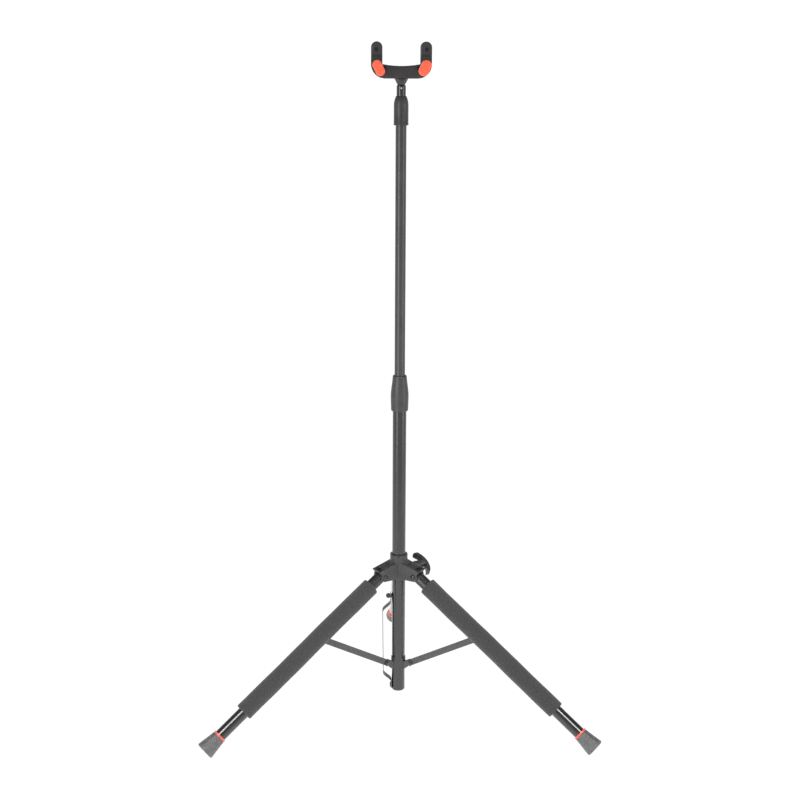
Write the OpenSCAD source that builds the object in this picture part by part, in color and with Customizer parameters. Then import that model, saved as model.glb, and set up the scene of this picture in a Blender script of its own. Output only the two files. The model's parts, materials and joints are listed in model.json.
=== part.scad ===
// Folding tripod guitar stand with a hanging, self-closing neck yoke.
// Millimetres, +Z up, floor at Z = 0, front of the stand towards -Y.
// The origin is the middle of the footprint; the mast stands at Y = mast_y.

/* [Mast] */
// Outside diameter of the lower tube
post_d = 25; // [24:0.5:26]
// Outside diameter of the upper tube
mast_d = 19; // [18:0.5:19.5]
// Height of the lower end of the lower tube
post_z = 38; // [30:1:44]
// Height of the upper end of the lower tube
post_top_z = 636; // [600:1:660]
// Height of the lower end of the neck collar
collar_z = 1096; // [1000:1:1120]
// Travel of the upper tube
mast_travel = 420; // [200:5:420]

/* [Tripod] */
// Distance of each sole's centre from the mast axis
foot_r = 402.9; // [360:1:430]
// Distance of each leg pivot from the mast axis
pivot_r = 37.5; // [37:0.5:40]
// Height of the leg pivots
pivot_z = 272.7; // [260:1:285]
// Outside diameter of the leg tubes
leg_d = 22; // [20:0.5:22]
// Outside diameter of the foam sleeves
foam_d = 33; // [30:0.5:36]
// Distance of the brace pivot from the leg pivot, along the leg
brace_at = 155.7; // [140:1:165]
// Distance of the brace pivot from the mast axis, at the post
lug_r = 24; // [23:0.5:26]
// Height of the brace pivot at the post
lug_z = 93; // [88:1:98]

/* [Yoke] */
// Outside width of the yoke
yoke_w = 104.2; // [100:1:112]
// Clear width between the prongs
yoke_gap = 65; // [58:1:66]
// Height of the underside of the yoke
yoke_z = 1174.6; // [1170:1:1180]
// Height of the top of the prongs
yoke_top_z = 1236.2; // [1230:1:1244]
// Depth of the yoke body, front to back
yoke_d = 20; // [18:1:22]
// Forward reach of the padded fingers
finger_l = 52; // [40:1:60]
// Angle of the pads from upright
pad_tilt = 27; // [20:1:32]

/* [Hidden] */
$fn = 64;
play = 0.05;
wall = 1.5;
post_r = post_d / 2;
post_bore_r = post_r - wall;
mast_r = mast_d / 2;
mast_bore_r = mast_r - 1.2;
leg_r = leg_d / 2;
foam_r = foam_d / 2;

// Tripod geometry in the plane of one leg: radius from the mast axis, height.
sole_z = 12.6;
sole_r = 17.2;
leg_len = sqrt(pow(foot_r - pivot_r, 2) + pow(pivot_z - sole_z, 2));
leg_slope = atan2(pivot_z - sole_z, foot_r - pivot_r);
brace_drop = 18.2;
bracket_r = pivot_r + brace_at * cos(leg_slope) - brace_drop * sin(leg_slope);
bracket_z = pivot_z - brace_at * sin(leg_slope) - brace_drop * cos(leg_slope);
brace_len = sqrt(pow(bracket_r - lug_r, 2) + pow(bracket_z - lug_z, 2));
brace_slope = atan2(bracket_z - lug_z, bracket_r - lug_r);
left = -60;
right = 60;
rear = 180;

// The footprint: the rear foot's reach, and the front feet's.
reach = sole_r * sin(leg_slope);
rear_y = foot_r + reach;
front_y = foot_r / 2 + sqrt(pow(reach / 2, 2) + pow(sole_r * sin(60), 2));
mast_y = (front_y - rear_y) / 2;

// Feet and sleeves, as distances from the leg pivot along the leg.
foot_l = 35.8;
ring_l = 3;
foot_x = leg_len - foot_l;
foam_x0 = 27.5;
foam_x1 = 352.7;

// Braces, lugs and brackets.
brace_t = 3;
brace_h = 11.5;
ear_in = 2.1;
ear_t = 2;
ear_out = ear_in + ear_t;
pin_r = 2.5;
pin_head_r = 4;
pin_head_t = 1.5;

// Hub and clamp.
hub_z = 260;
hub_top_z = 310;
flange_t = 2.6;
ring_top_z = hub_top_z - flange_t - 0.1;
hub_r = 16.4;
bush_r = post_r + 2;
arm_half = 14;
channel_half = leg_r + 0.35;
rim_z = 295.6;
rim_end_r = 49.6;
rim_fall = 0.3035;
bolt_r = 3;
clamp_az = 120;
clamp_z = 279;
clamp_boss_r = 8;
clamp_boss_end = 31;
screw_r = 3;
knob_face = 62;
knob_half = 26;
knob_tilt = 24;

// Grip clutch at the joint of the two tubes.
insert_r = 14;
grip_z = 586;
grip_top_z = 651.4;

// Spindle, spring and push rod under the yoke.
spindle_r = 8;
spindle_bore_r = 4.6;
spindle_top_z = 1163.4;
spindle_z = 1122;
collar_top_z = 1145.4;
tube_top_z = collar_z + 16;
rod_r = 3;
seat_z = 1076;
seat_top_z = 1084;

// Yoke outline: prongs, corner arcs and the sagging crossbar.
prong_w = (yoke_w - yoke_gap) / 2;
prong_x = (yoke_w + yoke_gap) / 4;
corner_r = 24;
corner_x = yoke_w / 2 - corner_r;
corner_z = yoke_z + corner_r;
bar_top_z = yoke_z + 21;
sag_r = 177.5;
shell = 2.6;
face_y = -yoke_d / 2;
cover_t = 2.5;
cover_y = yoke_d / 2 - cover_t;
grip_x = prong_x + 0.8;
grip_pivot_z = 1223.3;
pad_x = 39.2;
pad_z = 1192.6;
pad_r = 8;
pad_half = 5.5;
core_r = 4;
grip_screw_r = 3.3;
lever_y = face_y + 3.5;
lever_t = 4;

// Strap on the left of the post.
strap_x = -post_r;
strap_t = 1.2;
strap_w = 16;
strap_low_z = 43;
strap_top_z = 225;

// ---------- frames ----------

// Moves a child from the mast axis to its place in the footprint.
module on_mast() {
  translate([0, mast_y, 0]) children();
}

// Turns +X to point outwards at an azimuth: 0 is the front, 90 is the right.
module at_azimuth(az) {
  on_mast() rotate([0, 0, az - 90]) children();
}

// +X runs down the leg from its pivot, +Z is square to it on the upper side.
module leg_frame(az) {
  at_azimuth(az) translate([pivot_r, 0, pivot_z]) rotate([0, leg_slope, 0]) children();
}

// +X runs up the brace from its pivot at the post.
module brace_frame(az) {
  at_azimuth(az) translate([lug_r, 0, lug_z]) rotate([0, -brace_slope, 0]) children();
}

// +X runs outwards along the clamp screw.
module clamp_frame() {
  at_azimuth(clamp_az) translate([0, 0, clamp_z]) children();
}

// A profile of [distance, radius] points turned about the X axis.
module turned_x(points) {
  rotate([0, 90, 0]) turned(points);
}

// A closed profile of [height, radius] points turned about the Z axis.
module turned(points) {
  rotate_extrude() polygon([for (p = points) [p[1], p[0]]]);
}

// A flat shape drawn in radius and height, made t thick about the leg plane.
module plate(t) {
  rotate([90, 0, 0]) linear_extrude(t, center = true) children();
}

// A shape drawn in X and Z, extruded from depth y0 to depth y1.
module slab(y0, y1) {
  translate([0, y1, 0]) rotate([90, 0, 0]) linear_extrude(y1 - y0) children();
}

module ring(r, bore, h) {
  difference() {
    cylinder(r = r, h = h);
    translate([0, 0, -1]) cylinder(r = bore, h = h + 2);
  }
}

// A capsule: two round ends half apart from the middle, joined by a bar.
module capsule(r, half) {
  for (s = [-1, 1]) translate([0, s * half]) circle(r = r);
  square([2 * r, 2 * half], center = true);
}

// A headed pin across the leg plane, with a head on each end.
module cross_pin(r, half, head_r, head_t) {
  rotate([90, 0, 0]) cylinder(r = r, h = 2 * half, center = true);
  for (s = [-1, 1])
    translate([0, s * (half + head_t / 2), 0]) rotate([90, 0, 0])
      cylinder(r = head_r, h = head_t, center = true);
}

// ---------- post ----------

lug_rivet_dz = 7;
lug_rivet_r = 1.6;
stud_r = 2.4;
strap_rivet_r = 2;
strap_hole_r = 2.1;
strap_clear = 0.25;

module lug_rivet_places() {
  for (az = [left, right, rear], s = [-1, 1])
    at_azimuth(az) translate([0, 0, lug_z + s * lug_rivet_dz]) rotate([0, 90, 0]) children();
}

module lower_tube() {
  color("#1c1c1e") difference() {
    on_mast() translate([0, 0, post_z]) ring(post_r, post_bore_r, post_top_z - post_z);
    lug_rivet_places() cylinder(r = lug_rivet_r, h = post_d);
    on_mast() translate([0, 0, strap_top_z]) rotate([0, -90, 0]) cylinder(r = stud_r, h = post_d);
    on_mast() translate([0, 0, strap_low_z]) rotate([0, -90, 0])
      cylinder(r = strap_hole_r, h = post_d);
  }
}

cap_h = 4;
cap_plug_h = 14;

module post_end_cap() {
  color("#161616") on_mast() turned([
    [post_z - cap_h, 0], [post_z - cap_h, post_r - 3], [post_z - cap_h + 0.9, post_r - 0.9],
    [post_z - 1, post_r], [post_z, post_r], [post_z, post_bore_r], [post_z + cap_plug_h, post_bore_r],
    [post_z + cap_plug_h, post_bore_r - 2], [post_z + 2, post_bore_r - 2], [post_z + 2, 0]
  ]);
}

lug_half_h = 10;
lug_skin = 1.2;
lug_base_half = 6.5;
lug_ear_r = 6.4;
slot_half = pin_r + 0.2;
slot_flare = 0.2;

// Profile of a lug's ear, in line with the brace. Its slot is open below, where the pin drops out
// as the stand folds.
module lug_ear() {
  low = lug_z - 2 * lug_half_h;
  difference() {
    translate([lug_r, lug_z]) rotate(brace_slope) {
      circle(r = lug_ear_r);
      translate([-lug_r, -lug_ear_r]) square([lug_r, 2 * lug_ear_r]);
    }
    translate([lug_r, lug_z]) circle(r = slot_half);
    polygon([
      [lug_r + slot_half, lug_z], [lug_r + slot_half, low],
      [lug_r - slot_half - slot_flare * (lug_z - low), low], [lug_r - slot_half, lug_z]
    ]);
  }
}

module brace_lug() {
  difference() {
    union() {
      for (s = [-1, 1]) translate([0, s * (ear_in + ear_t / 2), 0]) plate(ear_t) lug_ear();
      intersection() {
        translate([0, 0, lug_z - lug_half_h]) cylinder(r = post_r + lug_skin, h = 2 * lug_half_h);
        translate([0, -lug_base_half, 0]) cube([post_d, 2 * lug_base_half, 2 * lug_z]);
      }
    }
    cylinder(r = post_r, h = 2 * lug_z);
    for (s = [-1, 1])
      translate([0, 0, lug_z + s * lug_rivet_dz]) rotate([0, 90, 0])
        cylinder(r = lug_rivet_r, h = post_d);
  }
}

module brace_lugs() {
  color("#171718") for (az = [left, right, rear]) at_azimuth(az) brace_lug();
}

module lug_rivets() {
  color("#8d8d90") lug_rivet_places() {
    translate([0, 0, post_bore_r]) cylinder(r = lug_rivet_r, h = wall + lug_skin + 0.3);
    translate([0, 0, post_r + lug_skin + 0.1]) cylinder(r = ear_in - 0.2, h = 0.9);
  }
}

// ---------- strap ----------

strap_hook_x = -15.2;
strap_reach = 15.2;
strap_steps = 36;
strap_lap = 7;

function smooth(t) = let (u = max(0, min(1, t))) u * u * (3 - 2 * u);

// Middle line of the strap: u runs from 0 at the rivet to 1 at the button.
function strap_point(u) = [
  strap_x - strap_t / 2 + u * (strap_hook_x - strap_x + strap_t / 2)
    - strap_reach * smooth((u - 0.08) / 0.095) * smooth((0.91 - u) / 0.1),
  strap_low_z - strap_lap + u * (strap_top_z - strap_low_z + 2 * strap_lap)
];

function strap_side(i, s) = let (
    u = i / strap_steps,
    d = strap_point(u + 0.002) - strap_point(u - 0.002),
    n = [d[1], -d[0]] / norm(d)
  ) strap_point(u) + s * strap_t / 2 * n;

module leg_strap() {
  color("#3a3a3c") on_mast() difference() {
    slab(-strap_w / 2, strap_w / 2) polygon(concat(
      [for (i = [0:strap_steps]) strap_side(i, 1)],
      [for (i = [strap_steps:-1:0]) strap_side(i, -1)]
    ));
    translate([0, 0, strap_top_z]) rotate([0, -90, 0]) cylinder(r = stud_r + 0.1, h = post_d);
    translate([0, 0, strap_low_z]) rotate([0, -90, 0]) cylinder(r = strap_hole_r, h = post_d);
    cylinder(r = post_r, h = post_top_z);
  }
}

module strap_button() {
  neck = -strap_hook_x + strap_t / 2;
  ball_r = 4.7;
  color("#1b1b1b") on_mast() translate([0, 0, strap_top_z]) rotate([0, -90, 0]) {
    translate([0, 0, post_bore_r + 0.3]) cylinder(r = stud_r, h = neck + 2 - post_bore_r);
    intersection() {
      translate([0, 0, neck + ball_r - 1.2]) sphere(r = ball_r);
      translate([0, 0, neck + strap_clear]) cylinder(r = 2 * ball_r, h = 2 * ball_r);
    }
    difference() {
      translate([0, 0, post_r - 1]) cylinder(r = 4.2, h = neck - strap_t - strap_clear - post_r + 1);
      rotate([0, 90, 0]) cylinder(r = post_r, h = 20, center = true);
    }
  }
}

module strap_rivet() {
  head = post_r + strap_t + strap_clear;
  color("#1b1b1b") on_mast() translate([0, 0, strap_low_z]) rotate([0, -90, 0]) {
    translate([0, 0, post_bore_r + 0.2]) cylinder(r = strap_rivet_r, h = head - post_bore_r);
    turned([[head, 0], [head, 5.6], [head + 1, 5.4], [head + 2, 4], [head + 2.5, 0]]);
  }
}

// ---------- clutch ----------

insert_z = grip_z + 3;
insert_top_z = grip_z + 37;
collet_r = 11.5;
collet_h = 9;

// The threaded sleeve fixed round the lower tube, near its top.
module clutch_insert() {
  color("#2b2b2c") on_mast() translate([0, 0, insert_z]) ring(insert_r, post_r, insert_top_z - insert_z);
}

module clutch_collet() {
  z = post_top_z + 0.1;
  slit = 1.6;
  color("#d8d8d4") on_mast() difference() {
    translate([0, 0, z]) ring(collet_r, mast_r + play, collet_h);
    translate([0, -slit / 2, z - 1]) cube([2 * collet_r, slit, collet_h + 2]);
  }
}

module clutch_grip() {
  bore = insert_r + 0.3;
  throat_z = insert_top_z + 1;
  throat = post_r + 0.3;
  step_z = post_top_z + 0.3;
  mouth_z = step_z + collet_h + 0.8;
  color("#555557") on_mast() turned([
    [grip_z, bore], [grip_z, 15], [grip_z + 1.2, 15.7], [grip_z + 9, 15.9], [grip_z + 20, 16.25],
    [grip_z + 26, 16.35], [grip_z + 32, 16.2], [grip_z + 38, 15.65], [grip_z + 45, 14.9],
    [grip_z + 52, 13.9], [grip_z + 59, 13.2], [grip_top_z - 1, 12.7], [grip_top_z, 11.9],
    [grip_top_z, mast_r + 0.4], [mouth_z, mast_r + 0.4], [mouth_z, collet_r + 0.35],
    [step_z, collet_r + 0.35], [step_z, throat], [throat_z, throat], [throat_z, bore]
  ]);
}

// ---------- upper tube ----------

guide_z = 545;
guide_l = 15;
guide_plug_l = 25;
mast_z = guide_z + guide_l;

module upper_tube() {
  color("#39393b") on_mast() translate([0, 0, mast_z])
    ring(mast_r, mast_bore_r, tube_top_z - mast_z);
}

module tube_guide() {
  r = post_bore_r - play;
  color("#d8d8d4") on_mast() turned([
    [guide_z, 5], [guide_z, r - 1], [guide_z + 1, r], [mast_z, r], [mast_z, mast_bore_r],
    [mast_z + guide_plug_l, mast_bore_r], [mast_z + guide_plug_l, 5]
  ]);
}

module neck_collar() {
  bore = spindle_r + play;
  color("#4a4a4c") on_mast() turned([
    [collar_z, mast_r], [collar_z, 13], [collar_z + 2, 13], [collar_z + 2.4, 12.75],
    [collar_z + 34, 12.75], [collar_z + 38, 12.5], [collar_z + 42, 11.7], [collar_z + 45.5, 10.6],
    [collar_z + 48.4, 9.5], [collar_top_z, 8.9], [collar_top_z, bore], [tube_top_z, bore],
    [tube_top_z, mast_r]
  ]);
}

// ---------- spindle, spring and push rod ----------

head_half = 14.5;
head_z = 1177.9;
head_t = 1.6;

module push_rod() {
  color("#9a9a9d") on_mast() {
    translate([0, 0, seat_z]) cylinder(r = mast_bore_r - 0.1, h = seat_top_z - seat_z);
    translate([0, 0, seat_z + 1]) cylinder(r = rod_r, h = head_z + 0.5 - seat_z - 1);
    translate([-head_half, lever_y, head_z]) cube([2 * head_half, rod_r - lever_y, head_t]);
  }
}

// The coil's outer shape, shortened as the spindle sinks.
module return_spring() {
  color("#a8a8aa") on_mast() translate([0, 0, seat_top_z])
    ring(7.2, 5.4, spindle_z - seat_top_z);
}

pin_at_z = 1158.6;
cross_pin_r = 1.2;

module yoke_spindle() {
  color("#b9b9bc") difference() {
    on_mast() turned([
      [spindle_z, spindle_bore_r], [spindle_z, spindle_r - 0.8], [spindle_z + 0.8, spindle_r],
      [spindle_top_z - 1, spindle_r], [spindle_top_z, spindle_r - 1], [spindle_top_z, spindle_bore_r]
    ]);
    on_mast() translate([0, 0, pin_at_z]) rotate([90, 0, 0])
      cylinder(r = cross_pin_r, h = 30, center = true);
  }
}

// A roll pin in two halves, so that the push rod runs free between them.
module spindle_pin() {
  color("#e0e0e2") on_mast() for (s = [-1, 1])
    translate([0, s * (spindle_r + 4.1) / 2, pin_at_z]) rotate([90, 0, 0])
      cylinder(r = cross_pin_r, h = spindle_r - 3.3, center = true);
}

// ---------- yoke ----------

// The front outline of the yoke, shrunk by a wall thickness.
module yoke_outline(inset) {
  for (s = [-1, 1]) {
    translate([s * prong_x, yoke_top_z - prong_w / 2]) circle(r = prong_w / 2 - inset);
    translate([s * prong_x - prong_w / 2 + inset, corner_z - 4])
      square([prong_w - 2 * inset, yoke_top_z - prong_w / 2 - corner_z + 4]);
  }
  difference() {
    intersection() {
      union() {
        for (s = [-1, 1]) translate([s * corner_x, corner_z]) circle(r = corner_r - inset);
        translate([-corner_x, yoke_z + inset]) square([2 * corner_x, corner_r]);
      }
      translate([-yoke_w / 2, yoke_z - 1]) square([yoke_w, corner_r + 1.5]);
    }
    translate([0, bar_top_z + sag_r]) circle(r = sag_r + inset, $fn = 256);
  }
}

neck_bore_r = 3.5;
boss_half = 3;
boss_z = 1180.5;
boss_y = 0;
cover_screw_x = 25;
tab_z = 1213.8;
tab_t = 3;
window_in = 30;
window_out = 37;

// The slot in the yoke's front wall that one finger's stem swings in, an arc about its pivot.
module finger_window() {
  intersection() {
    yoke_outline(shell + 0.5);
    difference() {
      translate([grip_x, grip_pivot_z]) circle(r = window_out);
      translate([grip_x, grip_pivot_z]) circle(r = window_in);
    }
    polygon([
      [grip_x, grip_pivot_z], [grip_x - 5, grip_pivot_z], [grip_x - 21, yoke_z],
      [grip_x - 1, yoke_z]
    ]);
  }
}

module yoke_body() {
  screw_y = face_y - tab_t;
  color("#4c4c4e") on_mast() difference() {
    union() {
      slab(face_y, cover_y) yoke_outline(0);
      intersection() {
        slab(face_y - tab_t, face_y + 1) yoke_outline(0.4);
        translate([-yoke_w, -yoke_w, tab_z]) cube(2 * yoke_w);
      }
      intersection() {
        turned([
          [spindle_top_z + 0.05, 0], [spindle_top_z + 0.05, 6.2], [yoke_z, 12.1], [yoke_z + 3, 12.1],
          [yoke_z + 3, 0]
        ]);
        translate([-20, face_y, 1100]) cube([40, cover_y - face_y, 200]);
      }
      translate([0, 0, pin_at_z - 8]) cylinder(r = spindle_bore_r, h = 14);
    }
    difference() {
      slab(face_y + 3, cover_y + 1) yoke_outline(shell);
      for (s = [-1, 1])
        translate([s * cover_screw_x - boss_half, boss_y, yoke_z])
          cube([2 * boss_half, 20, boss_z + boss_half - yoke_z]);
    }
    slab(face_y - 1, face_y + 4) finger_window();
    mirror([1, 0, 0]) slab(face_y - 1, face_y + 4) finger_window();
    translate([0, 0, 1100]) cylinder(r = neck_bore_r, h = yoke_z + 5 - 1100);
    translate([0, 0, pin_at_z]) rotate([90, 0, 0]) cylinder(r = cross_pin_r, h = 30, center = true);
    for (s = [-1, 1]) {
      translate([s * grip_x, screw_y - 1, grip_pivot_z]) rotate([-90, 0, 0])
        cylinder(r = grip_screw_r + 0.1, h = 3.6);
      translate([s * grip_x, screw_y, grip_pivot_z]) rotate([-90, 0, 0]) cylinder(r = 2, h = 9);
      translate([s * cover_screw_x, 2, boss_z]) rotate([-90, 0, 0]) cylinder(r = 1.2, h = 20);
    }
  }
}

module yoke_cover() {
  color("#444446") on_mast() difference() {
    union() {
      slab(cover_y, cover_y + cover_t) yoke_outline(0);
      for (s = [-1, 1]) translate([s * grip_x, lever_y + lever_t + 0.4, grip_pivot_z])
        rotate([-90, 0, 0]) cylinder(r = 4.5, h = cover_y - lever_y - lever_t);
      intersection() {
        turned([[spindle_top_z + 0.05, 0], [spindle_top_z + 0.05, 6.2], [yoke_z, 12.1], [yoke_z, 0]]);
        translate([-20, cover_y, 1100]) cube([40, cover_t, 200]);
      }
    }
    for (s = [-1, 1]) {
      translate([s * grip_x, 0, grip_pivot_z]) rotate([-90, 0, 0])
        cylinder(r = 2, h = 2 * cover_y, center = true);
      translate([s * cover_screw_x, 0, boss_z]) rotate([-90, 0, 0]) cylinder(r = 1.2, h = 20);
      translate([s * cover_screw_x, yoke_d / 2 - 1.2, boss_z]) rotate([-90, 0, 0])
        cylinder(r = 2.9, h = 5);
    }
  }
}

module cover_screws() {
  color("#141414") on_mast() for (s = [-1, 1])
    translate([s * cover_screw_x, 2, boss_z]) rotate([-90, 0, 0]) {
      cylinder(r = 1.2, h = yoke_d / 2 - 3);
      translate([0, 0, yoke_d / 2 - 3.2]) cylinder(r = 2.8, h = 1.1);
    }
}

module grip_screws() {
  head_y = face_y - tab_t + 0.6;
  color("#0d0d0d") on_mast() for (s = [-1, 1])
    translate([s * grip_x, 0, grip_pivot_z]) rotate([-90, 0, 0]) {
      translate([0, 0, head_y + 1]) cylinder(r = 2, h = cover_y - 0.2 - head_y - 1);
      difference() {
        translate([0, 0, head_y]) cylinder(r = grip_screw_r, h = 2);
        translate([0, 0, head_y - 1]) cylinder(r = 1.6, h = 2, $fn = 6);
      }
    }
}

shield_t = 2;
shield_top_z = 1211.1;
shield_low_z = 1199;
stem_r = 2.8;
stem_drop = 2.5;
arm_z = yoke_z + 6.6;
nose_x = 13;

// One finger lever: a bell crank inside the yoke whose nose the push rod lifts, a stem through the
// slot, a shield in front of it and a core for the pad.
module grip_lever() {
  slab(lever_y, lever_y + lever_t) difference() {
    union() {
      translate([grip_x, grip_pivot_z]) circle(r = 6);
      intersection() {
        polygon([
          [grip_x - 4, grip_pivot_z - 3], [grip_x + 5.8, grip_pivot_z - 3], [grip_x + 5.8, corner_z],
          [grip_x + 2, arm_z], [nose_x + 13, arm_z], [nose_x + 11, arm_z + 2.2],
          [nose_x + 4, arm_z + 2.2], [nose_x + 2.5, arm_z], [nose_x, arm_z], [nose_x, arm_z + 4],
          [nose_x + 18, arm_z + 7.5], [grip_x - 1.6, arm_z + 13.3]
        ]);
        union() {
          translate([corner_x, corner_z]) circle(r = corner_r - shell - 0.5);
          translate([0, corner_z]) square([yoke_w / 2, 40]);
          translate([0, yoke_z]) square([corner_x, corner_r]);
        }
      }
    }
    translate([grip_x, grip_pivot_z]) circle(r = 2 + play);
  }
  slab(face_y - 0.5, lever_y + 1)
    translate([pad_x, pad_z]) rotate(-pad_tilt) translate([0, -stem_drop]) circle(r = stem_r);
  slab(face_y - finger_l + 6, face_y - 0.5)
    translate([pad_x, pad_z]) rotate(-pad_tilt) capsule(core_r, pad_half - 0.5);
  slab(face_y - 0.4 - shield_t, face_y - 0.4) {
    translate([prong_x - prong_w / 2 + 0.5, shield_low_z])
      square([prong_w - 1, shield_top_z - shield_low_z]);
    translate([pad_x, pad_z]) rotate(-pad_tilt) capsule(pad_r - 0.4, pad_half);
  }
}

module grip_pad() {
  difference() {
    slab(face_y - finger_l, face_y - 2.5)
      translate([pad_x, pad_z]) rotate(-pad_tilt) capsule(pad_r, pad_half);
    slab(face_y - finger_l + 6, face_y)
      translate([pad_x, pad_z]) rotate(-pad_tilt) capsule(core_r, pad_half - 0.5);
  }
}

module grip_lever_right() { color("#303032") on_mast() grip_lever(); }
module grip_lever_left() { color("#303032") on_mast() mirror([1, 0, 0]) grip_lever(); }
module grip_pad_right() { color("#ff7a55") on_mast() grip_pad(); }
module grip_pad_left() { color("#ff7a55") on_mast() mirror([1, 0, 0]) grip_pad(); }

// ---------- hub ----------

// Height of the arm's upper rim at a radius.
function rim_at(r) = rim_z - rim_fall * (r - 12.7);

end_n = [sin(leg_slope), cos(leg_slope)];
arm_end = [rim_end_r, rim_at(rim_end_r)];
mouth_low = arm_end - 20 * end_n;
ear_r = 8.5;

module arm_side() {
  polygon([
    [0, rim_at(0)], arm_end, mouth_low, [pivot_r, pivot_z - ear_r], [0, pivot_z - ear_r]
  ]);
  translate([pivot_r, pivot_z]) circle(r = ear_r);
}

// The space that the leg's end turns in, from open to folded.
module leg_swing() {
  r = leg_r + 0.5;
  far = 60;
  translate([pivot_r, pivot_z]) circle(r = r);
  polygon([
    [pivot_r - r, pivot_z], [pivot_r - r, pivot_z - far], [pivot_r + far, pivot_z - far],
    [pivot_r, pivot_z] + r * end_n + far * [cos(leg_slope), -sin(leg_slope)],
    [pivot_r, pivot_z] + r * end_n
  ]);
}

// The shallow trough along the top of an arm.
module arm_trough() {
  depth = 4;
  polygon([[20, rim_at(20) - depth], [20, rim_z + 5], [46.6, rim_z + 5], [46.6, rim_at(46.6) - depth]]);
}

module hub_body() {
  trough_half = arm_half - 2.6;
  color("#505052") difference() {
    union() {
      for (az = [left, right, rear]) at_azimuth(az) plate(2 * arm_half) arm_side();
      on_mast() turned([
        [hub_z, 0], [hub_z, 14.8], [hub_z + 4, 15.6], [hub_z + 5, hub_r], [ring_top_z - 0.5, hub_r],
        [ring_top_z, hub_r - 0.5], [ring_top_z, 0]
      ]);
      clamp_frame() rotate([0, 90, 0]) cylinder(r = clamp_boss_r, h = clamp_boss_end);
    }
    on_mast() translate([0, 0, hub_z - 1]) cylinder(r = bush_r, h = hub_top_z);
    for (az = [left, right, rear]) {
      at_azimuth(az) plate(2 * channel_half) leg_swing();
      at_azimuth(az) plate(2 * trough_half) arm_trough();
      at_azimuth(az) translate([pivot_r, 0, pivot_z]) rotate([90, 0, 0])
        cylinder(r = bolt_r, h = 4 * arm_half, center = true);
    }
    clamp_frame() rotate([0, 90, 0]) cylinder(r = screw_r + 0.4, h = 60);
    clamp_frame() rotate([0, 90, 0]) cylinder(r = 5, h = 28);
  }
}

// The sliding bush, with a flange that caps the hub's ring.
module hub_bush() {
  color("#26262a") on_mast() difference() {
    turned([
      [hub_z + 1, post_r + play], [hub_z + 1, bush_r], [ring_top_z + 0.1, bush_r],
      [ring_top_z + 0.1, hub_r], [hub_top_z - 0.8, hub_r], [hub_top_z, hub_r - 0.8],
      [hub_top_z, post_r + play]
    ]);
    translate([0, 0, clamp_z]) rotate([0, 0, clamp_az - 90]) rotate([0, 90, 0])
      cylinder(r = 4 + play, h = 20);
  }
}

module leg_bolts() {
  color("#c9c9cc") for (az = [left, right, rear])
    at_azimuth(az) translate([pivot_r, 0, pivot_z]) {
      rotate([90, 0, 0]) cylinder(r = bolt_r, h = 2 * arm_half, center = true);
      for (s = [0, 180]) rotate([0, 0, s]) translate([0, arm_half, 0]) rotate([-90, 0, 0])
        turned([[0, 0], [0, 4.8], [0.8, 4.7], [1.9, 3.9], [2.7, 2.4], [3, 0]]);
    }
}

module clamp_nut() {
  color("#c2a04f") clamp_frame() translate([bush_r + 5.5, 0, 0]) rotate([0, 90, 0])
    ring(5, screw_r + play, 28 - bush_r - 5.5);
}

module clamp_shoe() {
  color("#d8d8d4") difference() {
    clamp_frame() rotate([0, 90, 0]) cylinder(r = 4, h = bush_r + 1.5);
    on_mast() cylinder(r = post_r + play, h = 400);
  }
}

module clamp_screw() {
  color("#b5b5b8") clamp_frame() translate([bush_r + 1.7, 0, 0]) rotate([0, 90, 0])
    cylinder(r = screw_r, h = 52 - bush_r - 1.7);
}

// A wing bar bowed towards the stand, on a round stem.
module clamp_knob() {
  sweep = 8;
  bow_r = (knob_half * knob_half + sweep * sweep) / (2 * sweep);
  wing_t = 7;
  wing_h = 12;
  color("#2a2a2b") clamp_frame() rotate([knob_tilt, 0, 0]) difference() {
    union() {
      intersection() {
        linear_extrude(wing_h, center = true) difference() {
          translate([knob_face - bow_r, 0]) circle(r = bow_r, $fn = 128);
          translate([knob_face - bow_r, 0]) circle(r = bow_r - wing_t, $fn = 128);
        }
        rotate([0, 90, 0]) translate([0, 0, 40]) cylinder(r = knob_half, h = 40);
      }
      turned_x([[34, 0], [34, 7.5], [36, 8], [48, 7], [knob_face - 3, 7.5], [knob_face - 3, 0]]);
    }
    rotate([0, 90, 0]) cylinder(r = screw_r, h = 52);
  }
}

// ---------- legs ----------

plug_in = 26;

// Everything on the leg side of a rounded end about the pivot.
module rounded_end() {
  plate(2 * leg_d) {
    circle(r = leg_r);
    translate([0, -leg_d]) square([2 * leg_len, 2 * leg_d]);
  }
}

module bolt_bore() {
  rotate([90, 0, 0]) cylinder(r = bolt_r + play, h = 2 * leg_d, center = true);
}

module leg_tube(az) {
  color("#1a1a1c") leg_frame(az) difference() {
    intersection() {
      translate([-leg_r, 0, 0]) rotate([0, 90, 0]) ring(leg_r, leg_r - wall, leg_len + leg_r - 8);
      rounded_end();
    }
    bolt_bore();
  }
}

module leg_plug(az) {
  color("#161617") leg_frame(az) difference() {
    intersection() {
      translate([-leg_r, 0, 0]) rotate([0, 90, 0]) cylinder(r = leg_r - wall, h = leg_r + plug_in);
      rounded_end();
    }
    bolt_bore();
  }
}

bracket_half = 12;

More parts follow.
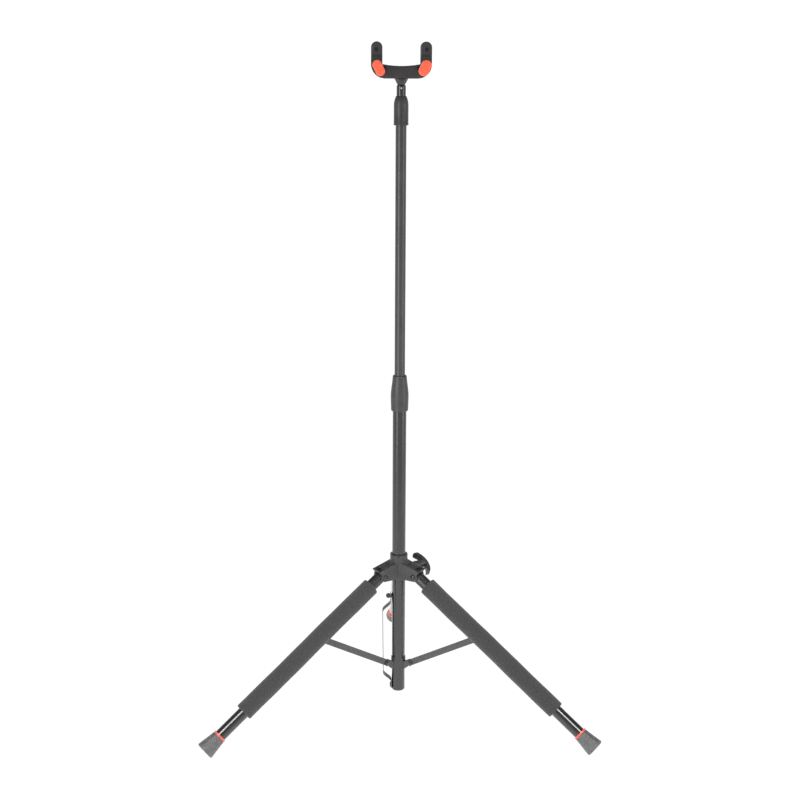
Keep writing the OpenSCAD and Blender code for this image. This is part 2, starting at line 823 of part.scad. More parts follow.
module leg_bracket(az) {
  color("#171718") leg_frame(az) difference() {
    union() {
      for (s = [-1, 1]) translate([0, s * (ear_in + ear_t / 2), 0]) plate(ear_t) {
        translate([brace_at, -brace_drop]) circle(r = 5);
        polygon([
          [brace_at - 5, -brace_drop], [brace_at + 5, -brace_drop], [brace_at + bracket_half, -leg_r],
          [brace_at + bracket_half, -8], [brace_at - bracket_half, -8], [brace_at - bracket_half, -leg_r]
        ]);
      }
      intersection() {
        translate([brace_at - bracket_half, 0, 0]) rotate([0, 90, 0])
          cylinder(r = leg_r + 1.2, h = 2 * bracket_half);
        translate([0, -7, -leg_d]) cube([leg_len, 14, leg_d]);
      }
    }
    rotate([0, 90, 0]) cylinder(r = leg_r, h = leg_len);
    translate([brace_at, 0, -brace_drop]) rotate([90, 0, 0])
      cylinder(r = pin_r, h = 40, center = true);
  }
}

module bracket_rivet(az) {
  color("#8d8d90") leg_frame(az) translate([brace_at, 0, -brace_drop])
    cross_pin(pin_r, ear_out, pin_head_r, pin_head_t);
}

// The rubber foot, cut flat where it meets the floor.
module foot(az) {
  color("#2c2c2d") intersection() {
    leg_frame(az) translate([foot_x, 0, 0]) turned_x([
      [0, leg_r], [0, 12.1], [1, 12.7], [6, 13.2], [foot_l - 4, 16.8], [foot_l - 1.6, sole_r],
      [foot_l, sole_r - 1.6], [foot_l, 0], [foot_l - 8, 0], [foot_l - 8, leg_r]
    ]);
    translate([-500, -500, 0]) cube([1000, 1000, 200]);
  }
}

module foot_ring(az) {
  color("#e8402a") leg_frame(az) translate([foot_x - ring_l, 0, 0])
    turned_x([[0, leg_r], [0, 12.8], [0.4, 13.2], [ring_l - 0.4, 13.2], [ring_l, 12.8], [ring_l, leg_r]]);
}

// Foam sleeve with a window below for the brace bracket.
module foam(az) {
  window_half = 8;
  color("#4b4b4b") leg_frame(az) difference() {
    translate([foam_x0, 0, 0]) rotate([0, 90, 0]) ring(foam_r, leg_r, foam_x1 - foam_x0);
    translate([brace_at - 15, -window_half, -2 * foam_r]) cube([41, 2 * window_half, 2 * foam_r]);
  }
}

// ---------- braces ----------

module brace(az) {
  color("#56565a") brace_frame(az) plate(brace_t) difference() {
    union() {
      circle(r = brace_h / 2);
      translate([brace_len, 0]) circle(r = brace_h / 2);
      translate([0, -brace_h / 2]) square([brace_len, brace_h]);
    }
    circle(r = pin_r);
    translate([brace_len, 0]) circle(r = pin_r + play);
  }
}

module brace_pin(az) {
  color("#8d8d90") brace_frame(az) cross_pin(pin_r, ear_out + 0.2, pin_head_r, pin_head_t);
}

// ---------- the nodes ----------

lower_tube();
post_end_cap();
brace_lugs();
lug_rivets();
strap_button();
strap_rivet();
leg_strap();
clutch_insert();
clutch_collet();
clutch_grip();
upper_tube();
tube_guide();
neck_collar();
push_rod();
return_spring();
yoke_spindle();
spindle_pin();
yoke_body();
yoke_cover();
cover_screws();
grip_screws();
grip_lever_left();
grip_lever_right();
grip_pad_left();
grip_pad_right();
hub_body();
hub_bush();
leg_bolts();
clamp_nut();
clamp_shoe();
clamp_knob();
clamp_screw();
leg_tube(left);  // leg_tube_left
leg_tube(right);  // leg_tube_right
leg_tube(rear);  // leg_tube_rear
leg_plug(left);  // leg_plug_left
leg_plug(right);  // leg_plug_right
leg_plug(rear);  // leg_plug_rear
leg_bracket(left);  // leg_bracket_left
leg_bracket(right);  // leg_bracket_right
leg_bracket(rear);  // leg_bracket_rear
bracket_rivet(left);  // bracket_rivet_left
bracket_rivet(right);  // bracket_rivet_right
bracket_rivet(rear);  // bracket_rivet_rear
foot(left);  // foot_left
foot(right);  // foot_right
foot(rear);  // foot_rear
foot_ring(left);  // foot_ring_left
foot_ring(right);  // foot_ring_right
foot_ring(rear);  // foot_ring_rear
foam(left);  // foam_left
foam(right);  // foam_right
brace(left);  // brace_left
brace(right);  // brace_right
brace(rear);  // brace_rear
brace_pin(left);  // brace_pin_left
brace_pin(right);  // brace_pin_right
brace_pin(rear);  // brace_pin_rear
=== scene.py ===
"""The look of a folding tripod guitar stand.

Finishes, softened mouldings, spring, foam, feet, strap, light and camera.
"""

import json
import math

import bmesh
import bpy
from mathutils import Matrix, Vector


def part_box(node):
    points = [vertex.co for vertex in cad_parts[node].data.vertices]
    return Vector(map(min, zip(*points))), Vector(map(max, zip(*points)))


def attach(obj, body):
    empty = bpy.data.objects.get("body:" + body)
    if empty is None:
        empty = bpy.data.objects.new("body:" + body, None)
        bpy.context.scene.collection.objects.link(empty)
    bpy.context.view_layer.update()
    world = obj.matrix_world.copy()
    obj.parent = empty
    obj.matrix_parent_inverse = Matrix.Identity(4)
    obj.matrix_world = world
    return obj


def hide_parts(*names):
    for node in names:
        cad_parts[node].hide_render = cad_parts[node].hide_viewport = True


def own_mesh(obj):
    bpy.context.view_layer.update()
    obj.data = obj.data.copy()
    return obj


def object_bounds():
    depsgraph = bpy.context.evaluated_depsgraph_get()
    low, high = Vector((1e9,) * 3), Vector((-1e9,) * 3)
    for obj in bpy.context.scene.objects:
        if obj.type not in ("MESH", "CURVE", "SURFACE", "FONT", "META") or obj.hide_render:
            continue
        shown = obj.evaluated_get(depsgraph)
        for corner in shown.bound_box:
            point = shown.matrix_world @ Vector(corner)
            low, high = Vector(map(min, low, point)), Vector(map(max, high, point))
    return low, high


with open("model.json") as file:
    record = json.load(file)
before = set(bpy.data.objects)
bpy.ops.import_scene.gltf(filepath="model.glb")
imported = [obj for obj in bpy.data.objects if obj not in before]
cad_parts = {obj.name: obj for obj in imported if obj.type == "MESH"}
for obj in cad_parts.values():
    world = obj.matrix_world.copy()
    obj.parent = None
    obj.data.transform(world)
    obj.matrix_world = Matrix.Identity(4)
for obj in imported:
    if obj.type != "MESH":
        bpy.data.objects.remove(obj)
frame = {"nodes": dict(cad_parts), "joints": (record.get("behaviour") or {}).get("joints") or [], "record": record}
CAD_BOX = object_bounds()
CAD = frame["nodes"]
SLOT_OF = {part["node"]: part["material_slot"] for part in frame["record"]["subparts"]}
JOINTS = {joint["name"]: joint for joint in frame["joints"]}
BODY_OF = {
    node: body
    for body, nodes in frame["record"]["behaviour"]["bodies"].items()
    for node in nodes
}
MM = 0.001


# ---------- camera ----------

CAMERA_AT = Vector((-0.0600, -2.5281, 1.225))
CAMERA_PITCH = math.radians(14.3)
CAMERA_YAW = math.radians(1.43)
CAMERA_ROLL = math.radians(0.303)
CAMERA_LENS = 62.11


def make_camera():
    """A lens level with the top of the stand, tilted down towards its middle."""
    forward = Vector(
        (
            math.cos(CAMERA_PITCH) * math.sin(CAMERA_YAW),
            math.cos(CAMERA_PITCH) * math.cos(CAMERA_YAW),
            -math.sin(CAMERA_PITCH),
        )
    )
    level = Vector((math.cos(CAMERA_YAW), -math.sin(CAMERA_YAW), 0))
    above = level.cross(forward)
    right = level * math.cos(CAMERA_ROLL) + above * math.sin(CAMERA_ROLL)
    up = above * math.cos(CAMERA_ROLL) - level * math.sin(CAMERA_ROLL)
    data = bpy.data.cameras.new("camera")
    data.lens = CAMERA_LENS
    camera = bpy.data.objects.new("camera", data)
    bpy.context.scene.collection.objects.link(camera)
    axes = Matrix((right, up, -forward)).transposed()
    camera.matrix_world = Matrix.Translation(CAMERA_AT) @ axes.to_4x4()
    bpy.context.scene.camera = camera


# ---------- finishes ----------

# Nearly all of a noise texture's values lie between these.
NOISE_LOW = 0.3
NOISE_HIGH = 0.7
# Radians of phase that a wave texture runs through in each unit of its scaled place.
WAVE_PHASE = 20
STRAP_RIB_PITCH = 3.158 * MM


class Finish:
    """A Principled material with object-space textures laid out in metres."""

    def __init__(self, name, **sockets):
        self.material = bpy.data.materials.new(name)
        self.material.use_nodes = True
        self.nodes = self.material.node_tree.nodes
        self.links = self.material.node_tree.links
        self.shader = self.nodes["Principled BSDF"]
        self.place = self.nodes.new("ShaderNodeTexCoord").outputs["Object"]
        for socket, value in sockets.items():
            self.shader.inputs[socket.replace("_", " ")].default_value = value

    def node(self, kind, inputs=None, **settings):
        made = self.nodes.new("ShaderNode" + kind)
        for key, value in settings.items():
            setattr(made, key, value)
        for key, value in (inputs or {}).items():
            if isinstance(value, bpy.types.NodeSocket):
                self.links.new(value, made.inputs[key])
            else:
                made.inputs[key].default_value = value
        return made

    def noise(self, size, detail=3, stretch=(1, 1, 1)):
        """Soft random grain about size metres across."""
        spread = self.node("Mapping", {"Vector": self.place, "Scale": stretch}).outputs[0]
        inputs = {"Vector": spread, "Scale": 1 / size, "Detail": detail}
        return self.node("TexNoise", inputs).outputs["Fac"]

    def cells(self, size):
        """Distance inside random cells about size metres across."""
        inputs = {"Vector": self.place, "Scale": 1 / size}
        return self.node("TexVoronoi", inputs).outputs["Distance"]

    def colour(self, factor, dark, light, low=NOISE_LOW, high=NOISE_HIGH):
        """A colour that follows factor between dark and light."""
        ramp = self.node("ValToRGB", {"Fac": factor})
        ramp.color_ramp.elements[0].position = low
        ramp.color_ramp.elements[0].color = (*dark, 1)
        ramp.color_ramp.elements[1].position = high
        ramp.color_ramp.elements[1].color = (*light, 1)
        self.links.new(ramp.outputs["Color"], self.shader.inputs["Base Color"])

    def roughness(self, factor, low, high):
        """A roughness that follows factor between low and high."""
        inputs = {
            "Value": factor,
            "From Min": NOISE_LOW,
            "From Max": NOISE_HIGH,
            "To Min": low,
            "To Max": high,
        }
        spread = self.node("MapRange", inputs).outputs["Result"]
        self.links.new(spread, self.shader.inputs["Roughness"])

    def bump(self, *layers):
        """Stacks bumps, each a (height, depth in metres, strength)."""
        normal = None
        for height, depth, strength in layers:
            inputs = {"Height": height, "Distance": depth, "Strength": strength}
            if normal is not None:
                inputs["Normal"] = normal
            normal = self.node("Bump", inputs).outputs["Normal"]
        self.links.new(normal, self.shader.inputs["Normal"])


def grey(value):
    """A neutral grey, a shade cool."""
    return (value, value, value * 1.02)


def gloss_tube():
    """Smooth black powder coat: faint orange peel and a hard shine."""
    finish = Finish("gloss_tube")
    peel = finish.noise(2.2 * MM)
    cloud = finish.noise(30 * MM)
    finish.colour(cloud, grey(0.005), grey(0.008))
    finish.roughness(finish.noise(5 * MM), 0.17, 0.25)
    finish.bump((peel, 0.05 * MM, 0.35))
    return finish


def satin_tube():
    """Satin black coat with a very fine tooth and faint sliding marks along it."""
    finish = Finish("satin_tube", Specular_IOR_Level=0.38)
    slide_marks = finish.noise(1.2 * MM, stretch=(1, 1, 0.03))
    finish.colour(finish.noise(25 * MM), grey(0.018), grey(0.025))
    finish.roughness(slide_marks, 0.27, 0.37)
    finish.bump((finish.noise(0.5 * MM), 0.03 * MM, 0.3))
    return finish


def moulded(name, dark, light, rough):
    """Injection moulding with an even spark-eroded grain and slight flow clouds."""
    finish = Finish(name, Specular_IOR_Level=0.36)
    grain = finish.noise(0.45 * MM, detail=5)
    finish.colour(finish.noise(12 * MM), grey(dark), grey(light))
    finish.roughness(finish.noise(1.5 * MM), rough - 0.06, rough + 0.08)
    finish.bump((grain, 0.08 * MM, 0.45), (finish.noise(6 * MM), 0.1 * MM, 0.15))
    return finish


def pale_nylon():
    """Natural nylon: milky, a little see-through, with flow marks."""
    finish = Finish("pale_nylon", Subsurface_Weight=0.2, Subsurface_Scale=0.002)
    finish.colour(finish.noise(4 * MM), (0.66, 0.65, 0.59), (0.78, 0.77, 0.72))
    finish.roughness(finish.noise(2 * MM), 0.38, 0.5)
    finish.bump((finish.noise(0.8 * MM), 0.04 * MM, 0.3))
    return finish


def black_steel():
    """Pressed steel under thin satin black paint."""
    finish = Finish("black_steel")
    finish.colour(finish.noise(5 * MM), grey(0.016), grey(0.026))
    finish.roughness(finish.noise(1.2 * MM), 0.34, 0.5)
    finish.bump((finish.noise(0.7 * MM), 0.05 * MM, 0.35))
    return finish


def grey_steel():
    """Dark zinc plate on strip steel: soft spangle and fine rolling scratches."""
    finish = Finish("grey_steel", Metallic=0.55)
    finish.colour(finish.cells(3 * MM), grey(0.034), grey(0.048), low=0, high=0.6)
    finish.roughness(finish.noise(2 * MM, detail=6), 0.38, 0.55)
    finish.bump((finish.noise(0.35 * MM, stretch=(1, 0.3, 0.3)), 0.03 * MM, 0.4))
    return finish


def plated(name, dark, light, rough):
    """Plated steel with fine polishing marks and a little dulling."""
    finish = Finish(name, Metallic=1.0)
    finish.colour(finish.noise(3 * MM), dark, light)
    finish.roughness(finish.noise(0.9 * MM, detail=6), rough, rough + 0.12)
    finish.bump((finish.noise(0.3 * MM), 0.02 * MM, 0.3))
    return finish


def black_screws():
    """Black oxide, slightly oily."""
    finish = Finish("black_screws", Metallic=0.4)
    finish.colour(finish.noise(1.5 * MM), grey(0.003), grey(0.006))
    finish.roughness(finish.noise(0.8 * MM), 0.3, 0.45)
    finish.bump((finish.noise(0.3 * MM), 0.03 * MM, 0.3))
    return finish


def coral_rubber():
    """Soft matt rubber, slightly translucent, with a faint bloom and fine pores."""
    finish = Finish(
        "coral_rubber", Subsurface_Weight=0.2, Subsurface_Scale=0.002, Sheen_Weight=0.1
    )
    finish.colour(finish.noise(2.5 * MM), (0.72, 0.070, 0.024), (0.79, 0.092, 0.033))
    finish.roughness(finish.noise(1.2 * MM), 0.55, 0.7)
    finish.bump((finish.noise(0.4 * MM, detail=5), 0.08 * MM, 0.5))
    return finish


def red_ring():
    """Bright red rubber band with a soft shine."""
    finish = Finish("red_ring")
    finish.colour(finish.noise(2 * MM), (0.66, 0.045, 0.028), (0.82, 0.075, 0.045))
    finish.roughness(finish.noise(1 * MM), 0.26, 0.38)
    finish.bump((finish.noise(0.5 * MM), 0.05 * MM, 0.35))
    return finish


def foot_rubber():
    """Tough dark rubber: worn lighter in patches, fine mould grain."""
    finish = Finish("foot_rubber")
    finish.colour(finish.noise(7 * MM, detail=5), grey(0.040), grey(0.066))
    finish.roughness(finish.noise(2.5 * MM), 0.42, 0.6)
    finish.bump((finish.noise(0.6 * MM), 0.08 * MM, 0.45), (finish.noise(5 * MM), 0.2 * MM, 0.2))
    return finish


def strap_rubber():
    """Flat elastic strap: matt, finely ribbed along its length."""
    finish = Finish("strap_rubber")
    scale = 2 * math.pi / (WAVE_PHASE * STRAP_RIB_PITCH)
    wave = finish.node("TexWave", {"Vector": finish.place, "Scale": scale}, bands_direction="Y")
    ribs = wave.outputs["Fac"]
    finish.colour(finish.noise(6 * MM), grey(0.05), grey(0.075))
    finish.roughness(finish.noise(1.5 * MM), 0.5, 0.62)
    finish.bump((ribs, 0.12 * MM, 0.4), (finish.noise(0.5 * MM), 0.05 * MM, 0.3))
    return finish


def foam():
    """Closed-cell foam: a skin of tiny cells with pinholes and soft mottling."""
    finish = Finish("foam", Sheen_Weight=0.12, Sheen_Roughness=0.6, Specular_IOR_Level=0.2)
    cells = finish.cells(0.9 * MM)
    mottle = finish.noise(3 * MM, detail=6)
    finish.colour(mottle, grey(0.017), grey(0.026), low=0.25, high=0.75)
    finish.roughness(finish.noise(1.4 * MM), 0.8, 0.95)
    finish.bump((finish.noise(14 * MM), 0.9 * MM, 0.35), (cells, 0.35 * MM, 0.6))
    return finish


FINISHES = {
    "gloss_tube": gloss_tube(),
    "satin_tube": satin_tube(),
    "moulded_plastic": moulded("moulded_plastic", 0.017, 0.024, 0.4),
    "dark_plastic": moulded("dark_plastic", 0.014, 0.022, 0.4),
    "pale_nylon": pale_nylon(),
    "black_steel": black_steel(),
    "grey_steel": grey_steel(),
    "bright_steel": plated("bright_steel", (0.6, 0.6, 0.62), (0.74, 0.74, 0.76), 0.18),
    "black_nickel": plated("black_nickel", (0.035, 0.035, 0.037), (0.055, 0.055, 0.058), 0.16),
    "black_screws": black_screws(),
    "brass": plated("brass", (0.62, 0.42, 0.16), (0.76, 0.56, 0.25), 0.25),
    "coral_rubber": coral_rubber(),
    "red_ring": red_ring(),
    "foot_rubber": foot_rubber(),
    "strap_rubber": strap_rubber(),
    "foam": foam(),
}


# ---------- pieces ----------

WELD_DISTANCE = 0.002 * MM
MOULDED_CREASE_DEG = 80


def eased(t):
    """A smooth step from 0 to 1 while t goes from 0 to 1."""
    t = max(0.0, min(1.0, t))
    return t * t * (3 - 2 * t)


def stand_in(node, mesh, name):
    """Puts a finished mesh in place of a CAD node, on the node's own body and slot."""
    piece = bpy.data.objects.new(name, mesh)
    bpy.context.scene.collection.objects.link(piece)
    mesh.materials.clear()
    mesh.materials.append(FINISHES[SLOT_OF[node]].material)
    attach(piece, BODY_OF[node])
    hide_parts(node)
    return piece


def mesh_of(name, points, faces, crease_deg=35):
    """A smooth-shaded mesh that keeps edges sharper than crease_deg."""
    mesh = bpy.data.meshes.new(name)
    mesh.from_pydata(points, [], faces)
    shade(mesh, crease_deg)
    return mesh


def shade(mesh, crease_deg=35):
    """Welds split corners, turns faces outwards, and shades smooth between sharp edges."""
    form = bmesh.new()
    form.from_mesh(mesh)
    bmesh.ops.remove_doubles(form, verts=form.verts, dist=WELD_DISTANCE)
    bmesh.ops.recalc_face_normals(form, faces=form.faces)
    for face in form.faces:
        face.smooth = True
    for edge in form.edges:
        if edge.is_manifold:
            edge.smooth = edge.calc_face_angle() < math.radians(crease_deg)
    form.to_mesh(mesh)
    form.free()
    if "custom_normal" in mesh.attributes:
        mesh.attributes.remove(mesh.attributes["custom_normal"])
    mesh.update()


def smoothed(node, name, crease_deg=35):
    """A node's own shape, with its curved faces shaded as one surface."""
    mesh = CAD[node].data.copy()
    shade(mesh, crease_deg)
    return stand_in(node, mesh, name)


def evaluated(source, name, build_modifiers):
    """The mesh that source has after build_modifiers has added modifiers to a copy of it."""
    work = bpy.data.objects.new(name + "_work", source.copy())
    bpy.context.scene.collection.objects.link(work)
    build_modifiers(work)
    graph = bpy.context.evaluated_depsgraph_get()
    mesh = bpy.data.meshes.new_from_object(work.evaluated_get(graph))
    mesh.name = name
    bpy.data.objects.remove(work)
    return mesh


def moulded_mesh(node, name, voxel, passes, keep, shape=None):
    """A node's shape with every edge and inner corner rounded, as a mould leaves it."""

    def soften(work):
        remesh = work.modifiers.new("remesh", "REMESH")
        remesh.mode = "VOXEL"
        remesh.voxel_size = voxel
        smooth = work.modifiers.new("smooth", "SMOOTH")
        smooth.factor = 0.5
        smooth.iterations = passes

    def thin(work):
        decimate = work.modifiers.new("decimate", "DECIMATE")
        decimate.ratio = keep

    mesh = evaluated(CAD[node].data, name, soften)
    if shape:
        for vertex in mesh.vertices:
            vertex.co = shape(vertex.co)
    mesh = evaluated(mesh, name, thin)
    shade(mesh, MOULDED_CREASE_DEG)
    return mesh


MAST = (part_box("upper_tube")[0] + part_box("upper_tube")[1]) / 2
MAST_X, MAST_Y = MAST.x, MAST.y


# ---------- yoke ----------

YOKE_LOW, YOKE_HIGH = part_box("yoke_body")
COVER_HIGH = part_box("yoke_cover")[1]
PRONG_R = 9.8 * MM
PRONG_X = YOKE_HIGH.x - PRONG_R
CORNER_R = 24 * MM
CORNER_X = YOKE_HIGH.x - CORNER_R
CORNER_Z = COVER_HIGH.z - 37.6 * MM
SAG_R = 177.5 * MM
SAG_Z = CORNER_Z - 3 * MM + SAG_R
TAB_Z = COVER_HIGH.z - 22.4 * MM
TAB_T = 3 * MM
FACE_TOLERANCE = 0.1 * MM
BODY_EDGE_R = 2.4 * MM
COVER_EDGE_R = 1.6 * MM
# How deep behind each face its rounding reaches.
BODY_BAND = 2 * BODY_EDGE_R
COVER_BAND = 1.5 * COVER_EDGE_R


def depth_inside_yoke(x, z):
    """How far a point is inside the yoke's front outline."""
    across = abs(x - MAST_X)
    rise = max(0.0, z - (COVER_HIGH.z - PRONG_R))
    in_prong = PRONG_R - math.hypot(across - PRONG_X, rise)
    side, fall = across - CORNER_X, CORNER_Z - z
    if side > 0 and fall > 0:
        in_corner = CORNER_R - math.hypot(side, fall)
    else:
        in_corner = min(CORNER_R - side, CORNER_R - fall)
    in_bar = min(in_corner, math.hypot(across, z - SAG_Z) - SAG_R)
    return max(in_prong, in_bar, 0.0)


def edge_drop(inside, radius):
    """How far a rounded edge falls back from the face, at a distance inside the outline."""
    if inside >= radius:
        return 0.0
    return radius - math.sqrt(radius * radius - (radius - inside) ** 2)


def round_yoke_front(co):
    """Rounds the edges of the yoke's front, which stands back below the prongs' tabs."""
    front = YOKE_LOW.y if co.z > TAB_Z - FACE_TOLERANCE else YOKE_LOW.y + TAB_T
    if co.y > front + BODY_BAND or co.z < CORNER_Z - CORNER_R + FACE_TOLERANCE:
        return co
    drop = edge_drop(depth_inside_yoke(co.x, co.z), BODY_EDGE_R)
    along = max(0.0, co.y - front) / BODY_BAND
    return Vector((co.x, front + drop + along * (BODY_BAND - drop), co.z))


def round_yoke_back(co):
    """Rounds the edges of the cover's back."""
    back = COVER_HIGH.y
    if co.y < back - COVER_BAND or co.z < CORNER_Z - CORNER_R + FACE_TOLERANCE:
        return co
    drop = edge_drop(depth_inside_yoke(co.x, co.z), COVER_EDGE_R)
    along = max(0.0, back - co.y) / COVER_BAND
    return Vector((co.x, back - drop - along * (COVER_BAND - drop), co.z))


PAD_R = 8 * MM
PAD_HALF = 5.5 * MM
PAD_CORE_R = 4 * MM
PAD_CORE_HALF = PAD_HALF - 0.5 * MM
PAD_CORE_ROUND = 1 * MM
PAD_TILT = math.radians(27)
PAD_CAP = 6 * MM
PAD_EDGE_R = 2.6 * MM
PAD_EDGE_STEPS = 7
PAD_BACK_CHAMFER = PAD_EDGE_R * 0.3
PAD_FACE_STEP = 0.02 * MM
PAD_FACE_INSET = 0.6 * MM
PAD_BANDS = 6
PAD_ARC = 20


def capsule_ring(radius, half, tilt):
    """Points round a capsule in X and Z whose long axis leans by tilt from upright."""
    ring = []
    for end in (1, -1):
        for i in range(PAD_ARC + 1):
            turn = math.pi * i / PAD_ARC + (0 if end > 0 else math.pi)
            x, z = radius * math.cos(turn), radius * math.sin(turn) + end * half
            ring.append(
                (x * math.cos(tilt) - z * math.sin(tilt), x * math.sin(tilt) + z * math.cos(tilt))
            )
    return ring


def loft(rings, close_first=True, close_last=True):
    """Skins a stack of rings that have the same number of points."""
    points = [point for ring in rings for point in ring]
    count = len(rings[0])
    faces = []
    for level in range(len(rings) - 1):
        for i in range(count):
            j = (i + 1) % count
            low, high = level * count, (level + 1) * count
            faces.append((low + i, low + j, high + j, high + i))
    if close_first:
        faces.append(tuple(range(count - 1, -1, -1)))
    if close_last:
        faces.append(tuple(range(len(points) - count, len(points))))
    return points, faces


def pad_mesh(side):
    """A rubber finger sleeve: a capsule with a generously rounded front rim and a blind bore."""
    node = "grip_pad_" + side
    low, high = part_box(node)
    centre = (low + high) / 2
    tilt = PAD_TILT if side == "left" else -PAD_TILT
    profile = [(high.y - PAD_BACK_CHAMFER, PAD_R)]
    for k in (4, 3, 2, 1):
        profile.append((low.y + PAD_EDGE_R + k * (high.y - low.y) / PAD_BANDS, PAD_R))
    for i in range(PAD_EDGE_STEPS + 1):
        turn = math.pi / 2 * i / PAD_EDGE_STEPS
        profile.append(
            (low.y + PAD_EDGE_R * (1 - math.sin(turn)), PAD_R - PAD_EDGE_R * (1 - math.cos(turn)))
        )
    profile.append((low.y + PAD_FACE_STEP, PAD_R - PAD_EDGE_R - PAD_FACE_INSET))
    bore = [
        (low.y + PAD_CAP, PAD_CORE_R - PAD_CORE_ROUND),
        (low.y + PAD_CAP, PAD_CORE_R),
        (high.y, PAD_CORE_R),
        (high.y, PAD_R - PAD_BACK_CHAMFER),
    ]
    rings = []
    for y, radius in bore:
        half = PAD_CORE_HALF if radius <= PAD_CORE_R else PAD_HALF
        rings.append([(centre.x + x, y, centre.z + z) for x, z in capsule_ring(radius, half, tilt)])
    for y, radius in profile:
        ring = capsule_ring(radius, PAD_HALF, tilt)
        rings.append([(centre.x + x, y, centre.z + z) for x, z in ring])
    return mesh_of("finger_pad_" + side, *loft(rings), crease_deg=50)


def make_yoke():
    body = moulded_mesh(
        "yoke_body", "yoke_shell", voxel=0.4 * MM, passes=3, keep=0.3, shape=round_yoke_front
    )
    cover = moulded_mesh(
        "yoke_cover", "yoke_back", voxel=0.4 * MM, passes=2, keep=0.3, shape=round_yoke_back
    )
    stand_in("yoke_body", body, "yoke_shell")
    stand_in("yoke_cover", cover, "yoke_back")
    for side in ("left", "right"):
        stand_in("grip_pad_" + side, pad_mesh(side), "finger_pad_" + side)
        smoothed("grip_lever_" + side, "finger_lever_" + side)
    for node in ("yoke_spindle", "spindle_pin", "grip_screws", "cover_screws"):
        smoothed(node, node + "_fine")


# ---------- spring ----------

WIRE_R = 0.9 * MM
WIRE_SIDES = 10
COIL_TURNS = 9
CLOSED_TURNS = 1
STEPS_PER_TURN = 36


def helix_point(turns, low, high, radius):
    """A compression spring's middle line, with its end turns lying closed."""
    active = COIL_TURNS - 2 * CLOSED_TURNS
    closed = 2 * WIRE_R * CLOSED_TURNS
    rise = high - low - 2 * WIRE_R - 2 * closed
    lifted = min(turns, CLOSED_TURNS) * 2 * WIRE_R
    lifted += max(0.0, min(turns - CLOSED_TURNS, active)) / active * rise
    lifted += max(0.0, turns - CLOSED_TURNS - active) * 2 * WIRE_R
    turn = 2 * math.pi * turns
    return Vector(
        (
            MAST_X + radius * math.cos(turn),
            MAST_Y + radius * math.sin(turn),
            low + WIRE_R + lifted,
        )
    )


def swept(path, section, across=None):
    """Rings of a section carried along a path; across fixes the section's second axis."""
    rings = []
    for i, at in enumerate(path):
        ahead = path[min(i + 1, len(path) - 1)] - path[max(i - 1, 0)]
        side = (across or Vector((at.x - MAST_X, at.y - MAST_Y, 0))).normalized()
        normal = side.cross(ahead).normalized()
        rings.append([tuple(at + normal * u + side * v) for u, v in section(i)])
    return rings


def make_spring():
    """A round-wire coil."""
    low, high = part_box("return_spring")
    radius = (high.x - low.x) / 2 - WIRE_R
    steps = STEPS_PER_TURN * COIL_TURNS
    path = [helix_point(COIL_TURNS * i / steps, low.z, high.z, radius) for i in range(steps + 1)]
    turns = [2 * math.pi * k / WIRE_SIDES for k in range(WIRE_SIDES)]
    circle = [(WIRE_R * math.cos(turn), WIRE_R * math.sin(turn)) for turn in turns]
    mesh = mesh_of("coil_spring", *loft(swept(path, lambda i: circle)), crease_deg=50)
    coil = stand_in("return_spring", mesh, "coil_spring")
    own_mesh(coil)


# ---------- foam sleeves ----------

SLEEVE_AROUND = 88
SLEEVE_WINDOW_HALF = 8 * MM
SLEEVE_WINDOW_BACK = 15 * MM
SLEEVE_WINDOW_AHEAD = 26 * MM
SLEEVE_EDGE_R = 2.6 * MM
SLEEVE_EDGE_STEPS = 5
SLEEVE_STEP = 3.5 * MM
SWELL_DEPTH = 0.22 * MM
# Radians of swell in each metre of foam.
SWELL_SLOW = 31
SWELL_QUICK = 87
SNAP = 1e-9


def leg_axes(side):
    """Origin at the leg's pivot, X down the leg, Y along the pivot, Z square to both."""
    joint = JOINTS[side + "_leg_fold"]
    pivot = Vector(joint["pos_m"])
    low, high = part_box("foot_ring_" + side)
    along = ((low + high) / 2 - pivot).normalized()
    across = Vector(joint["axis"]).normalized()
    above = along.cross(across)
    axes = Matrix((along, across, above)).transposed().to_4x4()
    return Matrix.Translation(pivot) @ axes


def extent_along(node, axes):
    """Lowest and highest X, and smallest and largest radius, of a node's corners in some axes."""
    inverse = axes.inverted()
    local = [inverse @ vertex.co for vertex in CAD[node].data.vertices]
    radii = [math.hypot(co.y, co.z) for co in local]
    along = [co.x for co in local]
    return min(along), max(along), min(radii), max(radii)


def stations(start, end, breaks, step):
    """Stations about a step apart, evenly spaced between the breaks, each of which is one."""
    marks = sorted([start, *breaks, end])
    made = [start]
    for low, high in zip(marks, marks[1:]):
        count = max(1, round((high - low) / step))
        made += [low + (high - low) * (i + 1) / count for i in range(count)]
    return made


def foam_swell(x, turn, phase):
    """The foam's slight unevenness."""
    slow = math.sin(x * SWELL_SLOW + phase) * math.cos(turn + phase)
    quick = math.sin(x * SWELL_QUICK - 2 * turn)
    return SWELL_DEPTH * (slow + 0.5 * quick)


